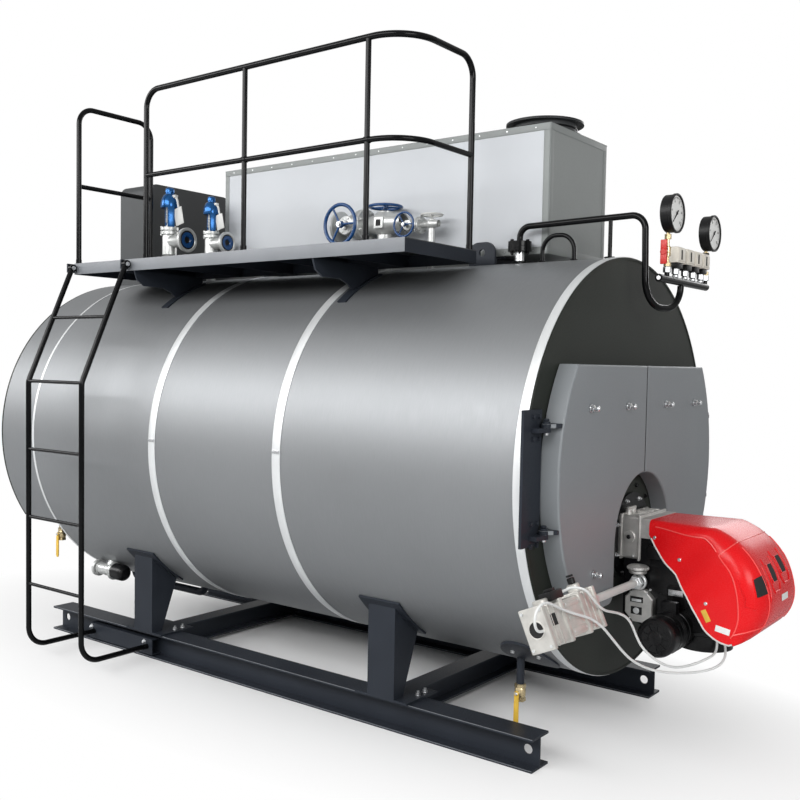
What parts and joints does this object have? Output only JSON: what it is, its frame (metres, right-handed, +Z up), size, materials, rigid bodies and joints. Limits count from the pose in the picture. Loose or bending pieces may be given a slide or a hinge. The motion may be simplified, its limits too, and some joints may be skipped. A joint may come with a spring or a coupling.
{
  "type": "packaged fire-tube steam boiler",
  "caption": "Horizontal steam boiler on a skid with front burner, smoke-box doors, economiser and flue on top, railed platform with ladder, steam valves, gauges and drains.",
  "frame": {"origin": "on the floor, in the middle of the rectangle of the skid's four anchor bolts", "axes": "+Z up, -Y towards the burner end, -X towards the platform side"},
  "size_m": [2.541, 5.029, 3.66],
  "materials": {
    "skid_paint": "satin dark blue-grey paint",
    "cladding": "brushed grey cladding sheet",
    "bright_band": "bright rolled strip",
    "end_paint": "dark olive-grey paint",
    "door_paint": "mid grey paint",
    "cast_aluminium": "cast",
    "burner_black": "satin black paint",
    "hood_red": "gloss red",
    "gas_pipe_steel": "pale metal",
    "casing_grey": "light grey-green paint",
    "flue_paint": "dark paint",
    "platform_paint": "satin black paint",
    "valve_silver": "silver paint",
    "wheel_blue": "blue paint",
    "wheel_pale": "pale paint",
    "pipe_black": "satin black paint",
    "gauge_black": "black case",
    "controller_case": "pale case",
    "brass_fitting": "turned",
    "lever_yellow": "yellow sleeve",
    "cable_white": "smooth"
  },
  "bodies": {
    "boiler": {"blowdown_valve": "valve_silver", "bottom_pipe": "skid_paint", "burner_cable_long": "cable_white", "burner_cable_short": "cable_white", "burner_casting": "cast_aluminium", "burner_hood": "hood_red", "burner_housing": "burner_black", "burner_motor": "burner_black", "cross_beam_front": "skid_paint", "cross_beam_rear": "skid_paint", "economiser_casing": "casing_grey", "economiser_cradles": "skid_paint", "economiser_outlet": "flue_paint", "flue_duct": "flue_paint", "flue_hood": "flue_paint", "front_drain": "brass_fitting", "front_plate": "end_paint", "furnace_mouth": "end_paint", "gas_cover": "cast_aluminium", "gas_pipe": "gas_pipe_steel", "gas_valve": "cast_aluminium", "gauge_header": "pipe_black", "gauge_left": "gauge_black", "gauge_right": "gauge_black", "hinge_plates": "end_paint", "ladder": "platform_paint", "ladder_anchor": "skid_paint", "lifting_lug": "skid_paint", "loop_pipe": "pipe_black", "main_steam_valve": "valve_silver", "outer_railing": "platform_paint", "outlet_steam_valve": "valve_silver", "platform_brackets": "skid_paint", "platform_deck": "platform_paint", "platform_frame": "platform_paint", "pressure_controllers": "controller_case", "rear_cover": "end_paint", "rear_drain": "brass_fitting", "rear_plate": "end_paint", "rear_railing": "platform_paint", "rear_smoke_box": "end_paint", "saddle_front_left": "skid_paint", "saddle_front_right": "skid_paint", "saddle_rear_left": "skid_paint", "saddle_rear_right": "skid_paint", "safety_valves": "valve_silver", "shell": "cladding", "shell_bands": "bright_band", "siphon_pipe": "pipe_black", "skid_beam_left": "skid_paint", "skid_beam_right": "skid_paint", "small_steam_valves": "valve_silver"},
    "door_left": {"door_left": "door_paint"},
    "door_right": {"door_right": "door_paint"},
    "steam_outlet_wheel": {"steam_outlet_wheel": "wheel_blue"},
    "main_steam_wheel": {"main_steam_wheel": "wheel_blue"},
    "branch_wheel": {"branch_wheel": "wheel_blue"},
    "air_wheel": {"air_wheel": "wheel_pale"},
    "front_drain_lever": {"front_drain_lever": "lever_yellow"},
    "rear_drain_lever": {"rear_drain_lever": "lever_yellow"}
  },
  "joints": [
    {"name": "door_left_hinge", "type": "hinge", "parent": "boiler", "child": "door_left", "pos_m": [-0.982, -2.116, 1.445], "axis": [0, 0, -1], "range_deg": [0, 3]},
    {"name": "door_right_hinge", "type": "hinge", "parent": "boiler", "child": "door_right", "pos_m": [0.982, -2.116, 1.445], "axis": [0, 0, 1], "range_deg": [0, 110]},
    {"name": "steam_outlet_wheel_turn", "type": "hinge", "parent": "boiler", "child": "steam_outlet_wheel", "pos_m": [-0.3, -0.291, 2.815], "axis": [-1, 0, 0], "continuous": true},
    {"name": "main_steam_wheel_turn", "type": "hinge", "parent": "boiler", "child": "main_steam_wheel", "pos_m": [-0.172, -0.543, 2.917], "axis": [0, 0, 1], "continuous": true},
    {"name": "branch_wheel_turn", "type": "hinge", "parent": "boiler", "child": "branch_wheel", "pos_m": [-0.245, -0.738, 2.789], "axis": [-1, 0, 0], "continuous": true},
    {"name": "air_wheel_turn", "type": "hinge", "parent": "boiler", "child": "air_wheel", "pos_m": [-0.172, -0.889, 2.842], "axis": [0, 0, 1], "continuous": true},
    {"name": "front_drain_lever_turn", "type": "hinge", "parent": "boiler", "child": "front_drain_lever", "pos_m": [-0.5365, -1.742, 0.2785], "axis": [1, 0, 0], "range_deg": [0, 90]},
    {"name": "rear_drain_lever_turn", "type": "hinge", "parent": "boiler", "child": "rear_drain_lever", "pos_m": [-0.7865, 1.928, 0.6975], "axis": [1, 0, 0], "range_deg": [0, 90]}
  ]
}
